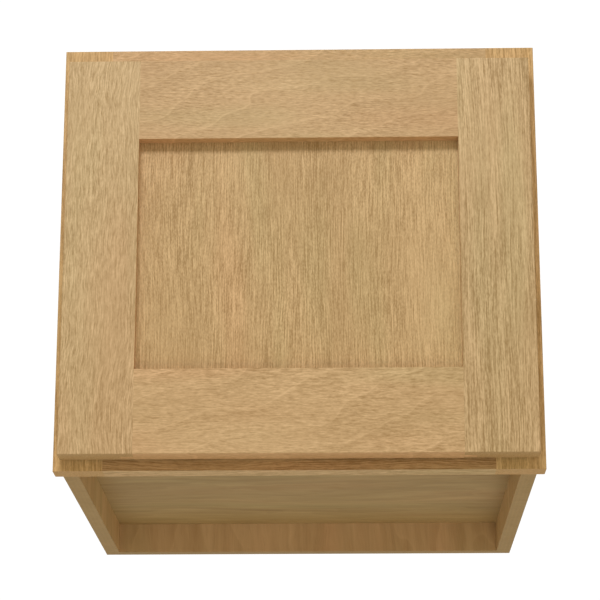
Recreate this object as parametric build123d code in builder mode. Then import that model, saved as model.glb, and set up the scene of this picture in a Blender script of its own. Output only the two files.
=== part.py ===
from build123d import *
import os

# Hanging wall cabinet with a face frame and one overlay door hinged on the left.
# Millimetres. +X to the right, +Y towards the wall, +Z up.
# Origin: centre of the back's outer face, which is also the centre of the wall screw holes.

# ---------------------------------------------------------------- driving dimensions
cabinet_w = 381.0           # over the face frame
cabinet_h = 351.0
cabinet_d = 344.0           # wall to the face frame's front
box_board = 12.3            # half-inch plywood of the sides, top and bottom
back_t = 12.3
joint_depth = 6.0           # rabbets and dadoes in the sides
side_inset = 6.2            # side panel's outer face, in from the face frame's edge
bottom_recess = 25.8        # underside of the bottom panel, up from the lower edges

frame_t = 19.0
frame_stile_w = 38.5
dowel_r = 4.0
dowel_length = 30.0
dowel_spacing = 18.0
dowel_end_room = 1.0        # past each end of a dowel, in its hole

nail_head_r = 1.9
nail_head_h = 0.8
nail_r = 0.8
nail_length = 32.0
nails_across = (-150.0, -75.0, 0.0, 75.0, 150.0)
nails_up = (-95.0, 0.0, 95.0)

hanging_rail_w = 70.0
hanging_rail_t = 19.0
wall_hole_r = 2.5
wall_hole_spacing_x = 203.2
wall_hole_spacing_z = 230.0

door_t = 19.0
door_stile_w = 57.7
door_rail_w = 67.4
side_reveal = 5.7           # face frame left showing beside, below and above the door
bottom_reveal = 8.4
top_reveal = 17.5
door_gap = 2.0              # door's back to the face frame's front
panel_t = 6.0
panel_recess = 9.5          # panel's face, back from the door's front
groove_depth = 10.0
panel_play = 0.5            # room for the panel to swell in its grooves
edge_r = 0.8                # eased outer edges of solid oak

bumper_r = 4.5
bumper_t = 1.9
bumper_from_side = 14.0
bumper_from_end = 20.0

hinge_from_end = 75.0       # cup centre to the door's top or bottom edge
cup_r = 17.5
cup_depth = 12.0
cup_floor = 0.8
cup_from_edge = 22.0        # cup centre to the door's hinge edge
cup_pocket = (29.0, 16.0)   # across the door, and up
flange_t = 1.0
flange_r = 18.5
ear_w = 13.0
ear_length = 57.0
cup_screw_spacing = 45.0
cup_screw_offset = 9.5      # screw line, from the cup's centre away from the hinge edge
cup_pin_room = 6.0          # cup pin, past each side of the link
pin_r = 2.0
pin_clearance = 0.05
link_t = 2.4
link_h = 13.0
link_eye_r = 4.0
plate_t = 1.6
plate_h = 54.0
plate_tab_w = 16.0          # tab that wraps behind the face frame
lug_t = 2.0
lug_r = 5.2
lug_gap = 14.0              # between a pair of lugs
plate_screw_spacing = 40.0
plate_screw_back = 2.5      # screw line, behind the middle of the face frame
rivet_r = 3.0               # spread heads on the plate's pin
rivet_h = 1.0
plate_window_d = 13.0       # opening in the plate that the link swings through

# Wood screws: head radius, shank radius, length and head height.
cup_screw_size = (3.6, 1.8, 14.0, 1.8)
plate_screw_size = (3.5, 1.9, 20.0, 1.6)
recess_size = (1.3, 0.22, 0.6)  # arm length and width over the head radius, depth over its height
tip_length = 3.0            # pointed tip, over the shank radius

# Hinge pivots: how far in from the door's hinge edge, and behind the face frame's front.
frame_pivot = (41.5, 7.0)
cup_pivot = (14.0, -6.5)
# The link's bends between the two pivots, round the face frame's corner and into the cup.
link_bends = ((35.5, 0.8), (33.2, -5.0), (30.0, -9.3), (24.5, -10.6))
bend_r = 2.5

# ---------------------------------------------------------------- places worked out from them
top = cabinet_h / 2
bottom = -top
side_outer = cabinet_w / 2 - side_inset
side_inner = side_outer - box_board
panel_half_w = side_inner + joint_depth
frame_front = -cabinet_d
frame_back = frame_front + frame_t
frame_mid = frame_front + frame_t / 2
frame_opening = cabinet_w / 2 - frame_stile_w
frame_rail_w = bottom_recess + box_board
box_depth = -back_t - frame_back
box_mid_y = (frame_back - back_t) / 2
bottom_panel_z = bottom + bottom_recess + box_board / 2
top_panel_z = top - box_board / 2

door_w = cabinet_w - 2 * side_reveal
door_h = cabinet_h - bottom_reveal - top_reveal
door_back = frame_front - door_gap
door_mid_y = door_back - door_t / 2
door_edge = door_w / 2
door_top = top - top_reveal
door_bottom = bottom + bottom_reveal
door_mid_z = (door_top + door_bottom) / 2
door_opening = door_edge - door_stile_w
panel_y = door_back - door_t + panel_recess + panel_t / 2

hinge_heights = {"upper": door_top - hinge_from_end, "lower": door_bottom + hinge_from_end}
cup_x = -door_edge + cup_from_edge
cup_screw_x = cup_x + cup_screw_offset
plate_x = -frame_opening
plate_screw_y = frame_mid + plate_screw_back
pocket_depth = cup_depth - cup_floor
cup_pin_half = link_h / 2 + cup_pin_room
plate_pin_half = lug_gap / 2 + lug_t


def block(centre, size, mode=Mode.ADD):
    """A square-edged block in the part being built."""
    with Locations(centre):
        Box(*size, mode=mode)


def rod(start, direction, radius, length, mode=Mode.ADD):
    """A round rod in the part being built, from one end's centre."""
    with Locations(Plane(origin=start, z_dir=direction)):
        Cylinder(radius, length, align=(Align.CENTER, Align.CENTER, Align.MIN), mode=mode)


def hinge_place(pivot, z=0.0):
    """The position of a hinge pivot on the cabinet."""
    return (-door_edge + pivot[0], frame_front + pivot[1], z)


def wood_screw(head_r, shank_r, length, head_h, recess=True):
    """A countersunk screw with its head's top at the origin, pointing down."""
    tip = tip_length * shank_r
    with BuildPart() as screw:
        with BuildSketch(Plane.XZ):
            with BuildLine():
                Polyline(
                    (0, 0), (head_r, 0), (shank_r, -head_h),
                    (shank_r, tip - length), (0, -length), close=True,
                )
            make_face()
        revolve(axis=Axis.Z)
        if recess:
            arm, width = recess_size[0] * head_r, recess_size[1] * head_r
            depth = 2 * recess_size[2] * head_h
            block((0, 0, 0), (arm, width, depth), Mode.SUBTRACT)
            block((0, 0, 0), (width, arm, depth), Mode.SUBTRACT)
    return screw.part


def place_all(piece, planes, mode=Mode.ADD):
    """Copies of a finished piece in the part being built, one on each plane."""
    with Locations(*planes):
        add(piece, mode=mode)


def cut_dowel_holes():
    """The dowel holes in a face frame board, a little longer than the dowels."""
    for x, y, z in dowel_starts:
        start = (x - dowel_end_room, y, z)
        rod(start, (1, 0, 0), dowel_r, dowel_length + 2 * dowel_end_room, Mode.SUBTRACT)


os.makedirs("parts", exist_ok=True)

# ---------------------------------------------------------------- fastener places
dowel_starts = [
    (sign * frame_opening - dowel_length / 2, frame_mid, rail_z + offset)
    for sign in (-1, 1)
    for rail_z in (bottom + frame_rail_w / 2, top - frame_rail_w / 2)
    for offset in (-dowel_spacing / 2, dowel_spacing / 2)
]
nail_places = [(x, z) for z in (bottom_panel_z, top_panel_z) for x in nails_across]
nail_places += [(sign * (side_inner + joint_depth / 2), z) for sign in (-1, 1) for z in nails_up]
nail_planes = [Plane(origin=(x, 0, z), z_dir=(0, 1, 0)) for x, z in nail_places]
cup_screw_planes = [
    Plane(origin=(cup_screw_x, door_back + flange_t, z + offset), z_dir=(0, 1, 0))
    for z in hinge_heights.values()
    for offset in (-cup_screw_spacing / 2, cup_screw_spacing / 2)
]
plate_screw_planes = [
    Plane(origin=(plate_x + plate_t, plate_screw_y, z + offset), z_dir=(1, 0, 0))
    for z in hinge_heights.values()
    for offset in (-plate_screw_spacing / 2, plate_screw_spacing / 2)
]
wall_hole_starts = [
    (sign_x * wall_hole_spacing_x / 2, 1, sign_z * wall_hole_spacing_z / 2)
    for sign_x in (-1, 1)
    for sign_z in (-1, 1)
]

# ---------------------------------------------------------------- fasteners
with BuildPart() as nail:
    rod((0, 0, 0), (0, 0, -1), nail_head_r, nail_head_h)
    rod((0, 0, 0), (0, 0, -1), nail_r, nail_length)
with BuildPart() as back_panel_nails:
    place_all(nail.part, nail_planes)
back_panel_nails.part.label = "back_panel_nails"
export_step(back_panel_nails.part, "parts/back_panel_nails.step")

with BuildPart() as face_frame_dowels:
    for start in dowel_starts:
        rod(start, (1, 0, 0), dowel_r, dowel_length)
face_frame_dowels.part.label = "face_frame_dowels"
export_step(face_frame_dowels.part, "parts/face_frame_dowels.step")

with BuildPart() as hinge_cup_screws:
    place_all(wood_screw(*cup_screw_size), cup_screw_planes)
hinge_cup_screws.part.label = "hinge_cup_screws"
export_step(hinge_cup_screws.part, "parts/hinge_cup_screws.step")

with BuildPart() as hinge_plate_screws:
    place_all(wood_screw(*plate_screw_size), plate_screw_planes)
hinge_plate_screws.part.label = "hinge_plate_screws"
export_step(hinge_plate_screws.part, "parts/hinge_plate_screws.step")

# ---------------------------------------------------------------- plywood box
for side, sign in (("left", -1), ("right", 1)):
    groove_x = sign * (side_inner + joint_depth / 2)
    with BuildPart() as side_panel:
        side_x = sign * (side_inner + box_board / 2)
        block((side_x, frame_back / 2, 0), (box_board, -frame_back, cabinet_h))
        block((groove_x, -back_t / 2, 0), (joint_depth, back_t, cabinet_h), Mode.SUBTRACT)
        for z in (bottom_panel_z, top_panel_z):
            block((groove_x, box_mid_y, z), (joint_depth, box_depth, box_board), Mode.SUBTRACT)
        place_all(nail.part, nail_planes, Mode.SUBTRACT)
    side_panel.part.label = f"side_panel_{side}"
    export_step(side_panel.part, f"parts/side_panel_{side}.step")

for name, z in (("top_panel", top_panel_z), ("bottom_panel", bottom_panel_z)):
    with BuildPart() as level_panel:
        block((0, box_mid_y, z), (2 * panel_half_w, box_depth, box_board))
        place_all(nail.part, nail_planes, Mode.SUBTRACT)
    level_panel.part.label = name
    export_step(level_panel.part, f"parts/{name}.step")

with BuildPart() as back_panel:
    block((0, -back_t / 2, 0), (2 * panel_half_w, back_t, cabinet_h))
    for start in wall_hole_starts:
        rod(start, (0, -1, 0), wall_hole_r, 2 * back_t, Mode.SUBTRACT)
    place_all(nail.part, nail_planes, Mode.SUBTRACT)
back_panel.part.label = "back_panel"
export_step(back_panel.part, "parts/back_panel.step")

top_rail_z = top - box_board - hanging_rail_w / 2
bottom_rail_z = bottom + frame_rail_w + hanging_rail_w / 2
for name, z in (("hanging_rail_top", top_rail_z), ("hanging_rail_bottom", bottom_rail_z)):
    with BuildPart() as hanging_rail:
        rail_y = -back_t - hanging_rail_t / 2
        block((0, rail_y, z), (2 * side_inner, hanging_rail_t, hanging_rail_w))
        for start in wall_hole_starts:
            rod(start, (0, -1, 0), wall_hole_r, 2 * hanging_rail_t, Mode.SUBTRACT)
    hanging_rail.part.label = name
    export_step(hanging_rail.part, f"parts/{name}.step")

# ---------------------------------------------------------------- face frame
for side, sign in (("left", -1), ("right", 1)):
    with BuildPart() as frame_stile:
        stile_x = sign * (frame_opening + frame_stile_w / 2)
        block((stile_x, frame_mid, 0), (frame_stile_w, frame_t, cabinet_h))
        long_edges = frame_stile.edges().filter_by(Axis.Z).sort_by(Axis.X)
        fillet(long_edges[:2] if sign < 0 else long_edges[-2:], edge_r)
        cut_dowel_holes()
        if side == "left":
            screw = wood_screw(*plate_screw_size, recess=False)
            place_all(screw, plate_screw_planes, Mode.SUBTRACT)
    frame_stile.part.label = f"face_frame_stile_{side}"
    export_step(frame_stile.part, f"parts/face_frame_stile_{side}.step")

for end, sign in (("top", 1), ("bottom", -1)):
    with BuildPart() as frame_rail:
        rail_z = sign * (top - frame_rail_w / 2)
        block((0, frame_mid, rail_z), (2 * frame_opening, frame_t, frame_rail_w))
        cut_dowel_holes()
    frame_rail.part.label = f"face_frame_rail_{end}"
    export_step(frame_rail.part, f"parts/face_frame_rail_{end}.step")

# ---------------------------------------------------------------- door
for side, sign in (("left", -1), ("right", 1)):
    with BuildPart() as door_stile:
        stile_x = sign * (door_opening + door_stile_w / 2)
        block((stile_x, door_mid_y, door_mid_z), (door_stile_w, door_t, door_h))
        long_edges = door_stile.edges().filter_by(Axis.Z).sort_by(Axis.X)
        end_edges = door_stile.edges().filter_by(Axis.X)
        fillet((long_edges[:2] if sign < 0 else long_edges[-2:]) + end_edges, edge_r)
        groove_x = sign * (door_opening + groove_depth / 2)
        block((groove_x, panel_y, door_mid_z), (groove_depth, panel_t, door_h), Mode.SUBTRACT)
        if side == "left":
            for z in hinge_heights.values():
                rod((cup_x, door_back, z), (0, -1, 0), cup_r, cup_depth, Mode.SUBTRACT)
            screw = wood_screw(*cup_screw_size, recess=False)
            place_all(screw, cup_screw_planes, Mode.SUBTRACT)
    door_stile.part.label = f"door_stile_{side}"
    export_step(door_stile.part, f"parts/door_stile_{side}.step")

tenon_w = door_rail_w - groove_depth
for end, sign in (("top", 1), ("bottom", -1)):
    outer_z = door_top if sign > 0 else door_bottom
    with BuildPart() as door_rail:
        rail_z = outer_z - sign * door_rail_w / 2
        block((0, door_mid_y, rail_z), (2 * door_opening, door_t, door_rail_w))
        outer_edges = door_rail.edges().filter_by(Axis.X).sort_by(Axis.Z)
        fillet(outer_edges[-2:] if sign > 0 else outer_edges[:2], edge_r)
        tenon_z = outer_z - sign * tenon_w / 2
        tenon_half_w = door_opening + groove_depth
        block((0, panel_y, tenon_z), (2 * tenon_half_w, panel_t, tenon_w))
        groove_z = outer_z - sign * (door_rail_w - groove_depth / 2)
        block((0, panel_y, groove_z), (2 * door_opening, panel_t, groove_depth), Mode.SUBTRACT)
    door_rail.part.label = f"door_rail_{end}"
    export_step(door_rail.part, f"parts/door_rail_{end}.step")

with BuildPart() as door_panel:
    panel_w = 2 * (door_opening + groove_depth - panel_play)
    panel_h = door_h - 2 * (door_rail_w - groove_depth + panel_play)
    block((0, panel_y, door_mid_z), (panel_w, panel_t, panel_h))
door_panel.part.label = "door_panel"
export_step(door_panel.part, "parts/door_panel.step")

with BuildPart() as door_bumpers:
    for z in (door_bottom + bumper_from_end, door_top - bumper_from_end):
        rod((door_edge - bumper_from_side, door_back, z), (0, 1, 0), bumper_r, bumper_t)
    fillet(door_bumpers.edges().filter_by(GeomType.CIRCLE).group_by(Axis.Y)[-1], edge_r)
door_bumpers.part.label = "door_bumpers"
export_step(door_bumpers.part, "parts/door_bumpers.step")

# ---------------------------------------------------------------- concealed hinges
for height, hinge_z in hinge_heights.items():
    cup_axis = hinge_place(cup_pivot, hinge_z)
    plate_axis = hinge_place(frame_pivot, hinge_z)

    # Round cup sunk in the door's back, with a pocket for the link and screw ears.
    with BuildPart() as hinge_cup:
        rod((cup_x, door_back, hinge_z), (0, -1, 0), cup_r, cup_depth)
        flange_plane = Plane(origin=(cup_x, door_back, hinge_z), x_dir=(1, 0, 0), z_dir=(0, 1, 0))
        with BuildSketch(flange_plane):
            Circle(flange_r)
            with Locations((cup_screw_offset, 0)):
                RectangleRounded(ear_w, ear_length, ear_w / 3)
        extrude(amount=flange_t)
        pocket_y = door_back + (flange_t - pocket_depth) / 2
        pocket_size = (cup_pocket[0], pocket_depth + flange_t, cup_pocket[1])
        block((cup_x, pocket_y, hinge_z), pocket_size, Mode.SUBTRACT)
        place_all(wood_screw(*cup_screw_size, recess=False), cup_screw_planes, Mode.SUBTRACT)
        pin_start = (cup_axis[0], cup_axis[1], hinge_z - cup_pin_half)
        rod(pin_start, (0, 0, 1), pin_r, 2 * cup_pin_half, Mode.SUBTRACT)
    hinge_cup.part.label = f"hinge_cup_{height}"
    export_step(hinge_cup.part, f"parts/hinge_cup_{height}.step")

    # Swan-neck link from the face frame's plate into the cup.
    with BuildPart() as hinge_link:
        with BuildSketch(Plane.XY.offset(hinge_z - link_h / 2)):
            with BuildLine():
                corners = [hinge_place(p)[:2] for p in (frame_pivot, *link_bends, cup_pivot)]
                FilletPolyline(*corners, radius=bend_r)
            trace(line_width=link_t)
            with Locations(corners[0], corners[-1]):
                Circle(link_eye_r)
                Circle(pin_r + pin_clearance, mode=Mode.SUBTRACT)
        extrude(amount=link_h)
    hinge_link.part.label = f"hinge_link_{height}"
    export_step(hinge_link.part, f"parts/hinge_link_{height}.step")

    # Plate screwed to the face frame stile's inner edge, wrapped behind it, with two lugs.
    with BuildPart() as hinge_plate:
        plate_mid_y = frame_mid + plate_t / 2
        plate_size = (plate_t, frame_t + plate_t, plate_h)
        block((plate_x + plate_t / 2, plate_mid_y, hinge_z), plate_size)
        tab_x = plate_x - plate_tab_w / 2
        block((tab_x, frame_back + plate_t / 2, hinge_z), (plate_tab_w, plate_t, plate_h))
        window_y = frame_front + plate_window_d / 2
        window_size = (2 * plate_t, plate_window_d, lug_gap)
        block((plate_x + plate_t / 2, window_y, hinge_z), window_size, Mode.SUBTRACT)
        lug_reach = plate_axis[0] - plate_x
        for sign in (-1, 1):
            lug_z = hinge_z + sign * (lug_gap + lug_t) / 2
            with BuildSketch(Plane.XY.offset(lug_z - lug_t / 2)):
                with Locations((plate_x + lug_reach / 2, plate_axis[1])):
                    Rectangle(lug_reach, 2 * lug_r)
                with Locations(plate_axis[:2]):
                    Circle(lug_r)
            extrude(amount=lug_t)
        screw = wood_screw(*plate_screw_size, recess=False)
        place_all(screw, plate_screw_planes, Mode.SUBTRACT)
        pin_start = (plate_axis[0], plate_axis[1], hinge_z - plate_pin_half)
        rod(pin_start, (0, 0, 1), pin_r, 2 * plate_pin_half, Mode.SUBTRACT)
    hinge_plate.part.label = f"hinge_plate_{height}"
    export_step(hinge_plate.part, f"parts/hinge_plate_{height}.step")

with BuildPart() as hinge_cup_pins:
    for z in hinge_heights.values():
        rod(hinge_place(cup_pivot, z - cup_pin_half), (0, 0, 1), pin_r, 2 * cup_pin_half)
hinge_cup_pins.part.label = "hinge_cup_pins"
export_step(hinge_cup_pins.part, "parts/hinge_cup_pins.step")

with BuildPart() as hinge_plate_pins:
    for z in hinge_heights.values():
        rod(hinge_place(frame_pivot, z - plate_pin_half), (0, 0, 1), pin_r, 2 * plate_pin_half)
        rod(hinge_place(frame_pivot, z + plate_pin_half), (0, 0, 1), rivet_r, rivet_h)
        rod(hinge_place(frame_pivot, z - plate_pin_half), (0, 0, -1), rivet_r, rivet_h)
hinge_plate_pins.part.label = "hinge_plate_pins"
export_step(hinge_plate_pins.part, "parts/hinge_plate_pins.step")
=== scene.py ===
import bpy
import math
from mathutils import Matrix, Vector


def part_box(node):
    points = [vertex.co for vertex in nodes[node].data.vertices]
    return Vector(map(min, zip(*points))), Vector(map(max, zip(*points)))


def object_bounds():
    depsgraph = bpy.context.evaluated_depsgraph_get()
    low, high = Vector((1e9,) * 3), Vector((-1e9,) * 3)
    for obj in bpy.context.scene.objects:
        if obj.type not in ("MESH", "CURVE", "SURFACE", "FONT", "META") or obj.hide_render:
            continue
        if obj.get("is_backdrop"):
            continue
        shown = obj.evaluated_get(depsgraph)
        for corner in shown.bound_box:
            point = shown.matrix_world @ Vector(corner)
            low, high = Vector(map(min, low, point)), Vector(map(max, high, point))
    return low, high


# A framed oak wall cabinet with one overlay door, seen from below as it hangs on a wall.

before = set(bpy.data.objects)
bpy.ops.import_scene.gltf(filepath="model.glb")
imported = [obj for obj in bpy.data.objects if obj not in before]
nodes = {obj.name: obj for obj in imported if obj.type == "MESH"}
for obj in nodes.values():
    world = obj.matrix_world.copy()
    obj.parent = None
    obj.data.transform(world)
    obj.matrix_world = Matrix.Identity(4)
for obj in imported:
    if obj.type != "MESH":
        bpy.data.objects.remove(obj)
cad_low, cad_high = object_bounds()


# ---------------------------------------------------------------- node graphs
class Graph:
    """A material's node tree, with one short call for each kind of node used here."""

    def __init__(self, name):
        self.material = bpy.data.materials.new(name)
        self.material.use_nodes = True
        self.tree = self.material.node_tree
        self.shader = self.tree.nodes["Principled BSDF"]
        coordinates = self.tree.nodes.new("ShaderNodeTexCoord")
        self.place = coordinates.outputs["Object"]
        self.normal = coordinates.outputs["Normal"]

    def feed(self, socket, value):
        """Links a socket to a node's output, or sets it to a plain number or colour."""
        if isinstance(value, bpy.types.NodeSocket):
            self.tree.links.new(value, socket)
        elif value is not None:
            socket.default_value = value

    def math(self, operation, a, b=None, c=None, clamp=False):
        node = self.tree.nodes.new("ShaderNodeMath")
        node.operation = operation
        node.use_clamp = clamp
        for socket, value in zip(node.inputs, (a, b, c)):
            self.feed(socket, value)
        return node.outputs[0]

    def total(self, *weighted):
        """The sum of value times weight, over pairs of them."""
        value = 0.0
        for term, weight in weighted:
            value = self.math("MULTIPLY_ADD", term, weight, value)
        return value

    def split(self, vector):
        node = self.tree.nodes.new("ShaderNodeSeparateXYZ")
        self.feed(node.inputs[0], vector)
        return node.outputs[0], node.outputs[1], node.outputs[2]

    def join(self, x, y, z):
        node = self.tree.nodes.new("ShaderNodeCombineXYZ")
        for socket, value in zip(node.inputs, (x, y, z)):
            self.feed(socket, value)
        return node.outputs[0]

    def noise(self, vector, scale, seed, detail, roughness=0.5):
        """Soft noise about zero, with a scale in cells per metre along each axis."""
        mapping = self.tree.nodes.new("ShaderNodeMapping")
        self.feed(mapping.inputs["Vector"], vector)
        mapping.inputs["Scale"].default_value = scale
        mapping.inputs["Location"].default_value = (seed, 1.7 * seed, 0.6 * seed)
        node = self.tree.nodes.new("ShaderNodeTexNoise")
        self.feed(node.inputs["Vector"], mapping.outputs[0])
        node.inputs["Scale"].default_value = 1.0
        node.inputs["Detail"].default_value = detail
        node.inputs["Roughness"].default_value = roughness
        return self.math("SUBTRACT", node.outputs[0], 0.5)

    def streaks(self, place, pitch, seed, detail=1.0):
        """Noise drawn out along the grain, with its pitch along the grain and across it."""
        return self.noise(place, (pitch[0], pitch[1], pitch[1]), seed, detail)

    def spread(self, value, low, high, to_low=0.0, to_high=1.0, smooth=False):
        node = self.tree.nodes.new("ShaderNodeMapRange")
        node.interpolation_type = "SMOOTHSTEP" if smooth else "LINEAR"
        numbers = (value, low, high, to_low, to_high)
        for socket, number in zip(node.inputs, numbers):
            self.feed(socket, number)
        return node.outputs[0]

    def mix(self, share, a, b, blend="MIX"):
        node = self.tree.nodes.new("ShaderNodeMix")
        node.data_type = "RGBA"
        node.blend_type = blend
        self.feed(node.inputs["Factor"], share)
        for socket, colour in ((node.inputs[6], a), (node.inputs[7], b)):
            if isinstance(colour, tuple):
                colour = (*colour, 1.0)
            self.feed(socket, colour)
        return node.outputs[2]

    def bump(self, height, strength, distance):
        node = self.tree.nodes.new("ShaderNodeBump")
        node.inputs["Strength"].default_value = strength
        node.inputs["Distance"].default_value = distance
        self.feed(node.inputs["Height"], height)
        self.feed(self.shader.inputs["Normal"], node.outputs[0])

    def set(self, **values):
        for name, value in values.items():
            self.feed(self.shader.inputs[name.replace("_", " ")], value)


def shade(colour, factors):
    return tuple(c * f for c, f in zip(colour, factors))


# ---------------------------------------------------------------- oak
AXES = "XYZ"
DARKER, LIGHTER = (0.70, 0.655, 0.55), (1.30, 1.365, 1.55)
PINKER, GREENER = (1.035, 0.985, 0.985), (0.965, 1.015, 1.0)
PORE = (0.62, 0.54, 0.43)

# Pitches that every cut shares, in patches per metre along the grain and across it.
SWAY, RIPPLE, ARCH, STRENGTH = (5, 9), (45, 60), (8, 18), (9, 20)
BROAD, CLOUD, LIVELY, HUE = (3, 26), (9, 16), (11, 22), (4, 26)
# Shares of a ring's width: a pale line's rise and its full width, and where the ring's tone turns back.
LINE_RISE, LINE_WIDTH, SEASON_TURN = 0.02, 0.07, 0.94
CLOUD_GAIN, RELIEF_GAIN = 0.35, 0.5


def oak(graph, grain, thickness, seed, colour, cut):
    """Oak with its grain along one axis. Returns its colour and the depth of its pores."""
    places = dict(zip(AXES, graph.split(graph.place)))
    along, depth = places.pop(grain), places.pop(thickness)
    across = places.popitem()[1]
    straight = graph.join(along, across, depth)

    # The grain lines lean and wander a little across the board.
    sway = graph.streaks(straight, SWAY, seed)
    ripple = graph.streaks(straight, RIPPLE, seed)
    across = graph.total((across, 1.0), (along, cut["lean"]), (sway, cut["sway"]), (ripple, cut["ripple"]))
    place = graph.join(along, across, depth)

    # Growth rings: pale lines that come and go, drawn out into arches where the board is flat-sawn.
    arch = graph.streaks(straight, ARCH, seed + 11, 2.0)
    strength = graph.spread(graph.streaks(straight, STRENGTH, seed + 19), -0.26, 0.0)
    ring = graph.total((across, 1.0), (along, cut["ring_slope"]), (arch, cut["ring_arch"]))
    ring = graph.math("FRACT", graph.math("DIVIDE", ring, cut["ring_width"]))
    early = graph.spread(ring, LINE_WIDTH, 0.0, smooth=True)
    line = graph.math("MULTIPLY", early, graph.spread(ring, 0.0, LINE_RISE))
    line = graph.math("MULTIPLY", line, strength)
    season = graph.math("SUBTRACT", 0.5, ring)
    season = graph.math("MULTIPLY", season, graph.spread(ring, 1.0, SEASON_TURN))

    # Streaks of several lengths follow the grain lines, and so do the open pores.
    short = graph.streaks(place, cut["short"], seed, 2.0)
    long = graph.streaks(place, cut["long"], seed + 3)
    fleck = graph.streaks(place, cut["fleck"], seed + 17)
    broad = graph.streaks(place, BROAD, seed + 5, 2.0)
    cloud = graph.streaks(place, CLOUD, seed + 7, 2.0)
    pore = graph.spread(graph.streaks(place, cut["pore"], seed + 9), 0.10, 0.20, smooth=True)
    pore = graph.math("MULTIPLY", pore, graph.spread(line, 0.0, 1.0, 1.0, 0.25))

    # Some stretches of a board are livelier than others, and the pale lines are calm.
    lively = graph.spread(graph.streaks(straight, LIVELY, seed + 15), -0.2, 0.2, 0.7, 1.3)
    lively = graph.math("MULTIPLY", lively, graph.spread(line, 0.0, 1.0, 1.0, 0.55))
    grainy = graph.total((short, cut["short_gain"]), (long, cut["long_gain"]), (fleck, cut["fleck_gain"]))
    grainy = graph.math("MULTIPLY", grainy, lively)
    tone = graph.total((grainy, 1.0), (line, cut["line_gain"]), (season, cut["season_gain"]))
    tone = graph.total((tone, 1.0), (broad, cut["broad_gain"]), (cloud, CLOUD_GAIN))
    tone = graph.math("ADD", tone, 0.5, clamp=True)
    wood = graph.mix(tone, shade(colour, DARKER), shade(colour, LIGHTER))

    hue = graph.streaks(place, HUE, seed + 13)
    wood = graph.mix(graph.spread(hue, 0.02, 0.22, 0.0, 1.0, True), wood, PINKER, "MULTIPLY")
    wood = graph.mix(graph.spread(hue, -0.02, -0.22, 0.0, 1.0, True), wood, GREENER, "MULTIPLY")
    share = graph.math("MULTIPLY", pore, cut["pore_share"])
    wood = graph.mix(share, wood, shade(colour, PORE))
    return wood, graph.total((pore, -1.0), (grainy, RELIEF_GAIN))


# Each cut of oak. The pitches are in streaks per metre along and across the grain.
RIFT = {
    "lean": -0.012, "sway": 0.03, "ripple": 0.0035, "ring_slope": 0.02, "ring_arch": 0.02,
    "ring_width": 0.021, "line_gain": 0.03, "season_gain": 0.05, "broad_gain": 0.35,
    "short": (112, 1020), "long": (26, 920), "fleck": (420, 1020), "pore": (130, 1220),
    "short_gain": 1.8, "long_gain": 0.8, "fleck_gain": 0.65, "pore_share": 0.22,
}
STRAIGHT = dict(
    RIFT, lean=0.004, sway=0.012, ripple=0.0012, short=(150, 1020), short_gain=1.4, long_gain=1.8,
)
VENEER = dict(
    RIFT, lean=0.003, sway=0.014, ripple=0.0014, short=(90, 1080), long=(26, 970), fleck=(420, 1080),
    pore=(104, 1300), short_gain=1.4, long_gain=1.5, fleck_gain=1.1, broad_gain=0.6,
)
FLAT_SAWN = dict(
    RIFT, lean=0.0, sway=0.02, ripple=0.0012, ring_slope=-0.36, ring_arch=0.07, ring_width=0.027,
    line_gain=0.20, season_gain=0.14, short=(172, 1020), long=(40, 920), pore=(198, 1220),
    short_gain=1.4, long_gain=0.45, fleck_gain=0.5, pore_share=0.16,
)
STREAKY = dict(
    FLAT_SAWN, sway=0.03, ripple=0.0015, ring_slope=0.05, line_gain=0.05, short=(110, 1020),
    long=(18, 920), pore=(126, 1220), short_gain=1.6, long_gain=2.0, pore_share=0.4,
)
ROTARY = dict(
    RIFT, lean=0.0, sway=0.06, ripple=0.004, ring_slope=0.10, ring_arch=0.12, ring_width=0.036,
    line_gain=0.06, season_gain=0.14, short=(14, 130), long=(9, 120), fleck=(60, 760), pore=(48, 900),
    short_gain=0.5, long_gain=0.45, fleck_gain=0.22, broad_gain=0.5, pore_share=0.12,
)


SATIN_SOLID, SATIN_PLY = (0.62, 0.46), (0.66, 0.50)
BUMP_DEPTH, PLY_LAYERS = 0.00025, 7


def solid_oak(name, grain, seed, colour, cut, edge_tone):
    """Satin-lacquered solid oak, toned differently on the board's ends, and lighter and redder on its
    narrow edges: partly their own edge grain, partly painted light where they face down.
    """
    graph = Graph(name)
    wood, relief = oak(graph, grain, "Y", seed, colour, cut)
    facing = dict(zip(AXES, graph.split(graph.normal)))
    end = graph.math("ABSOLUTE", facing[grain])
    edge = graph.math("ABSOLUTE", facing["X" if grain == "Z" else "Z"])
    # Painted light: the narrow edges are lightened as if lit from below, on top of their own edge-grain
    # tone.
    wood = graph.mix(graph.spread(edge, 0.6, 0.9), wood, edge_tone, "MULTIPLY")
    wood = graph.mix(graph.spread(end, 0.6, 0.9, 0.0, 0.5), wood, shade(colour, END_TONE))
    rough = graph.spread(relief, -1.0, 0.3, *SATIN_SOLID)
    graph.set(Base_Color=wood, Roughness=rough, Specular_IOR_Level=0.32)
    graph.bump(relief, 0.30, BUMP_DEPTH)
    return graph.material


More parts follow.
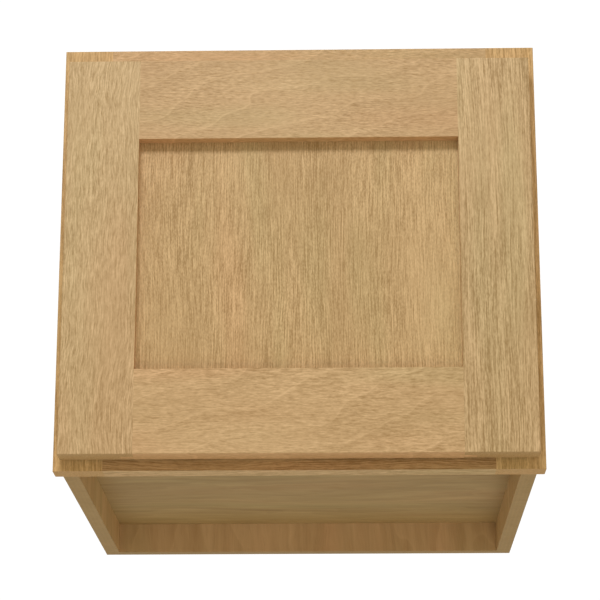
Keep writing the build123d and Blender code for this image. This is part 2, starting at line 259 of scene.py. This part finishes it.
def plywood(name, grain, thickness, middle, board, seed, colour):
    """Veneered plywood: oak on its faces, thin crossed layers on its edges."""
    graph = Graph(name)
    wood, relief = oak(graph, grain, thickness, seed, colour, ROTARY)
    axis = AXES.index(thickness)
    depth = graph.math("SUBTRACT", graph.split(graph.place)[axis], middle)
    layer = graph.math("PINGPONG", graph.math("MULTIPLY_ADD", depth, PLY_LAYERS / board, 0.5), 1.0)
    layer = graph.spread(layer, 0.35, 0.65, smooth=True)
    edge = graph.mix(layer, shade(PLY_EDGE, (0.96, 0.96, 0.95)), shade(PLY_EDGE, (1.04, 1.04, 1.05)))
    edge = graph.mix(0.3, edge, wood)
    facing = graph.math("ABSOLUTE", graph.split(graph.normal)[axis])
    wood = graph.mix(graph.spread(facing, 0.5, 0.8), edge, wood)
    rough = graph.spread(relief, -1.0, 0.3, *SATIN_PLY)
    graph.set(Base_Color=wood, Roughness=rough, Specular_IOR_Level=0.30)
    graph.bump(relief, 0.25, BUMP_DEPTH)
    return graph.material


# ---------------------------------------------------------------- metal and rubber
BRUSH_ALONG, BRUSH_ACROSS, BRUSH_DEPTH = 40, 1500, 0.00008


def plated_steel(name, colour, brush):
    """Pressed and plated steel with a faint brushing along one axis and small tumbling marks."""
    graph = Graph(name)
    stretch = [BRUSH_ALONG if axis == brush else BRUSH_ACROSS for axis in AXES]
    lines = graph.noise(graph.place, stretch, 1.0, 2.0, 0.6)
    spots = graph.noise(graph.place, (240, 240, 240), 2.0, 3.0)
    tint = graph.mix(graph.spread(spots, -0.15, 0.15), shade(colour, (0.88, 0.88, 0.88)), colour)
    rough = graph.total((lines, 0.35), (spots, 0.30))
    rough = graph.math("ADD", rough, 0.30)
    graph.set(Base_Color=tint, Roughness=rough, Metallic=1.0)
    graph.bump(lines, 0.12, BRUSH_DEPTH)
    return graph.material


def clear_rubber(name, colour):
    """Milky soft bumper with a slightly dusty skin."""
    graph = Graph(name)
    dust = graph.noise(graph.place, (900, 900, 900), 1.0, 3.0)
    tint = graph.mix(graph.spread(dust, -0.15, 0.2), shade(colour, (0.9, 0.9, 0.9)), colour)
    graph.set(Base_Color=tint, Roughness=graph.spread(dust, -0.2, 0.2, 0.30, 0.50))
    graph.shader.inputs["Subsurface Weight"].default_value = 0.25
    graph.shader.inputs["Subsurface Radius"].default_value = (0.002, 0.002, 0.0018)
    graph.bump(dust, 0.1, 0.0001)
    return graph.material


# ---------------------------------------------------------------- finishes by node
STILE_LEFT, STILE_RIGHT = (0.500, 0.342, 0.158), (0.485, 0.324, 0.147)
RAIL_TOP, RAIL_BOTTOM, PANEL = (0.488, 0.313, 0.141), (0.532, 0.345, 0.157), (0.493, 0.321, 0.137)
FRAME_STILE, FRAME_TOP = (0.555, 0.345, 0.130), (0.522, 0.343, 0.150)
# The face frame's bottom rail is painted darker and more orange on its front, as the shade the door casts
# on it; its own grain is the streaky cut.
FRAME_BOTTOM_PAINTED_SHADE = (0.405, 0.236, 0.087)
# The bottom panel's plywood is darker than the other boards: painted shade of the recess under the
# cabinet, over its own olive tone.
TOP_PLY, BOTTOM_PLY_PAINTED_SHADE = (0.50, 0.345, 0.155), (0.385, 0.25, 0.092)
SIDE_PLY, BACK_PLY = (0.545, 0.350, 0.142), (0.510, 0.320, 0.140)
PLY_EDGE = (0.325, 0.205, 0.064)
HANGING, BEECH = (0.52, 0.36, 0.165), (0.62, 0.42, 0.25)
# The edge tones are partly the edge grain's own tone and partly painted light on the downward faces; the
# bottom rail's is the lit copy of its painted shade.
END_TONE, EDGE_GRAIN_AND_PAINTED_LIGHT_TONE, SHADED_RAIL_LIT_EDGE_TONE = (0.95, 0.82, 0.60), (1.15, 1.04, 0.98), (1.38, 1.54, 1.72)

# Solid boards: grain axis, pattern seed, colour and cut.
SOLID_BOARDS = {
    "door_stile_left": ("Z", 110.1, STILE_LEFT, RIFT),
    "door_stile_right": ("Z", 60.6, STILE_RIGHT, STRAIGHT),
    "door_rail_top": ("X", 170.7, RAIL_TOP, FLAT_SAWN),
    "door_rail_bottom": ("X", 107.9, RAIL_BOTTOM, FLAT_SAWN),
    "door_panel": ("Z", 164.8, PANEL, VENEER),
    "face_frame_stile_left": ("Z", 22.2, FRAME_STILE, STRAIGHT),
    "face_frame_stile_right": ("Z", 25.9, FRAME_STILE, STRAIGHT),
    "face_frame_rail_top": ("X", 29.6, FRAME_TOP, FLAT_SAWN),
    # Painted shade: this rail's front is darkened for the door's shadow, and its lower edge is lifted back
    # to lit oak.
    "face_frame_rail_bottom": ("X", 59.9, FRAME_BOTTOM_PAINTED_SHADE, STREAKY),
    "hanging_rail_top": ("X", 37.0, HANGING, FLAT_SAWN),
    "hanging_rail_bottom": ("X", 40.7, HANGING, FLAT_SAWN),
    "face_frame_dowels": ("X", 44.4, BEECH, STRAIGHT),
}
# Plywood boards: grain axis, thickness axis, pattern seed and colour.
PLY_BOARDS = {
    "side_panel_left": ("Z", "X", 74.0, SIDE_PLY),
    "side_panel_right": ("Z", "X", 77.7, SIDE_PLY),
    "top_panel": ("X", "Z", 81.4, TOP_PLY),
    # Painted shade: the bottom panel is coloured darker for the shade in the recess beneath the cabinet.
    "bottom_panel": ("X", "Z", 85.1, BOTTOM_PLY_PAINTED_SHADE),
    "back_panel": ("Z", "Y", 88.8, BACK_PLY),
}
# Metal pieces: the axis they are brushed along.
STEEL = {
    "hinge_plate_upper": "Z", "hinge_plate_lower": "Z",
    "hinge_cup_upper": "X", "hinge_cup_lower": "X",
    "hinge_link_upper": "Z", "hinge_link_lower": "Z",
    "hinge_plate_screws": "X", "hinge_cup_screws": "Y",
    "hinge_plate_pins": "Z", "hinge_cup_pins": "Z", "back_panel_nails": "Y",
}
NICKEL, ZINC, RUBBER = (0.70, 0.68, 0.64), (0.66, 0.67, 0.69), (0.78, 0.78, 0.74)
WOOD_EASE, HINGE_EASE, WELD_REACH = 0.0003, 0.0002, 0.00001


def dress(node, material):
    """Gives a CAD node one material in every slot."""
    slots = nodes[node].material_slots
    for slot in slots:
        slot.material = material
    if not slots:
        nodes[node].data.materials.append(material)


def ease_edges(node, width):
    """Softens a piece's square edges the way sanding or tumbling does."""
    weld = nodes[node].modifiers.new("weld", "WELD")
    weld.merge_threshold = WELD_REACH
    bevel = nodes[node].modifiers.new("ease", "BEVEL")
    bevel.width = width
    bevel.segments = 2
    bevel.limit_method = "ANGLE"
    bevel.angle_limit = math.radians(40)
    bevel.harden_normals = True


for node, (grain, seed, colour, cut) in SOLID_BOARDS.items():
    # The face frame's bottom rail takes a far stronger edge tone: its lower edge is painted lit, against
    # the painted shade on its front.
    edge_tone = SHADED_RAIL_LIT_EDGE_TONE if node == "face_frame_rail_bottom" else EDGE_GRAIN_AND_PAINTED_LIGHT_TONE
    dress(node, solid_oak(node + "_oak", grain, seed, colour, cut, edge_tone))
for node, (grain, thickness, seed, colour) in PLY_BOARDS.items():
    low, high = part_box(node)
    axis = AXES.index(thickness)
    middle, board = (low[axis] + high[axis]) / 2, high[axis] - low[axis]
    dress(node, plywood(node + "_ply", grain, thickness, middle, board, seed, colour))
for node, brush in STEEL.items():
    plating = NICKEL if node.startswith("hinge") and "screws" not in node else ZINC
    dress(node, plated_steel(node + "_steel", plating, brush))
dress("door_bumpers", clear_rubber("bumper_rubber", RUBBER))

for node in SOLID_BOARDS:
    if node != "face_frame_dowels":
        ease_edges(node, WOOD_EASE)
for node in STEEL:
    if node.endswith(("upper", "lower")):
        ease_edges(node, HINGE_EASE)


# ---------------------------------------------------------------- stage, light and camera
front_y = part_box("face_frame_stile_left")[0].y
bottom_z = cad_low.z
middle = (cad_low + cad_high) / 2


def add_floor(drop, size, lift):
    """A wide pale floor far below the cabinet. The lift pales it to the eye and lights nothing."""
    mesh = bpy.data.meshes.new("floor")
    z = bottom_z - drop
    corners = [(-size, -size, z), (size, -size, z), (size, size, z), (-size, size, z)]
    mesh.from_pydata(corners, [], [(0, 1, 2, 3)])
    floor = bpy.data.objects.new("floor", mesh)
    bpy.context.scene.collection.objects.link(floor)
    graph = Graph("floor_paint")
    mottle = graph.noise(graph.place, (3, 3, 3), 1.0, 3.0)
    tint = graph.mix(graph.math("ADD", mottle, 0.5), (0.88, 0.88, 0.87), (0.92, 0.92, 0.91))
    graph.set(Base_Color=tint, Roughness=0.8, Emission_Color=(0.80, 0.90, 1.0, 1))
    path = graph.tree.nodes.new("ShaderNodeLightPath")
    graph.set(Emission_Strength=graph.math("MULTIPLY", path.outputs["Is Camera Ray"], lift))
    mesh.materials.append(graph.material)
    floor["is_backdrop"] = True


def add_area_light(name, towards, distance, size, power, colour):
    """A round or oval soft light that faces the cabinet from the given direction, out of sight itself."""
    data = bpy.data.lights.new(name, "AREA")
    data.shape = "ELLIPSE"
    data.size, data.size_y = size
    data.energy = power
    data.color = colour
    light = bpy.data.objects.new(name, data)
    direction = Vector(towards).normalized()
    light.location = middle + direction * distance
    light.rotation_mode = "QUATERNION"
    light.rotation_quaternion = direction.to_track_quat("Z", "Y")
    light.visible_camera = False
    bpy.context.scene.collection.objects.link(light)


def add_world(backdrop, glow):
    """A white studio backdrop that lights the cabinet with a dimmer, even glow."""
    world = bpy.data.worlds.new("studio")
    bpy.context.scene.world = world
    world.use_nodes = True
    tree = world.node_tree
    tree.nodes.clear()
    output = tree.nodes.new("ShaderNodeOutputWorld")
    seen, lighting = tree.nodes.new("ShaderNodeBackground"), tree.nodes.new("ShaderNodeBackground")
    seen.inputs["Strength"].default_value = backdrop
    seen.inputs["Color"].default_value = (1, 1, 1, 1)
    lighting.inputs["Strength"].default_value = glow
    lighting.inputs["Color"].default_value = (1.0, 0.93, 0.80, 1)
    path = tree.nodes.new("ShaderNodeLightPath")
    mix = tree.nodes.new("ShaderNodeMixShader")
    tree.links.new(path.outputs["Is Camera Ray"], mix.inputs[0])
    tree.links.new(lighting.outputs[0], mix.inputs[1])
    tree.links.new(seen.outputs[0], mix.inputs[2])
    tree.links.new(mix.outputs[0], output.inputs["Surface"])


# Millimetres for the lens and its sensor, metres from the face frame's lower edge, degrees.
LENS, SENSOR = 135.28, 36.0
RIGHTWARD, FORWARD, BELOW = 0.0404, 1.6981, 0.3882
TILT, PAN = 17.187, 1.335


def add_camera():
    """The camera below and in front of the cabinet, looking up at it."""
    data = bpy.data.cameras.new("camera")
    data.lens = LENS
    data.sensor_width = SENSOR
    camera = bpy.data.objects.new("camera", data)
    camera.location = (RIGHTWARD, front_y - FORWARD, bottom_z - BELOW)
    camera.rotation_euler = (math.radians(90 + TILT), 0, math.radians(PAN))
    bpy.context.scene.collection.objects.link(camera)
    bpy.context.scene.camera = camera


add_camera()
add_floor(drop=2.4, size=40.0, lift=0.28)
add_area_light("key", (-0.15, -1.0, 0.83), 2.1, (1.0, 0.48), 22.2, (0.99, 1.0, 1.05))
add_area_light("fill", (0.25, -1.0, -0.84), 2.2, (0.8, 0.8), 6.5, (1.0, 0.94, 0.84))
add_area_light("back", (0.6, 1.0, 0.5), 2.5, (1.2, 1.2), 12, (1.0, 0.99, 0.97))
add_world(backdrop=1.05, glow=0.55)
bpy.context.scene.view_settings.view_transform = "Standard"

low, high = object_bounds()
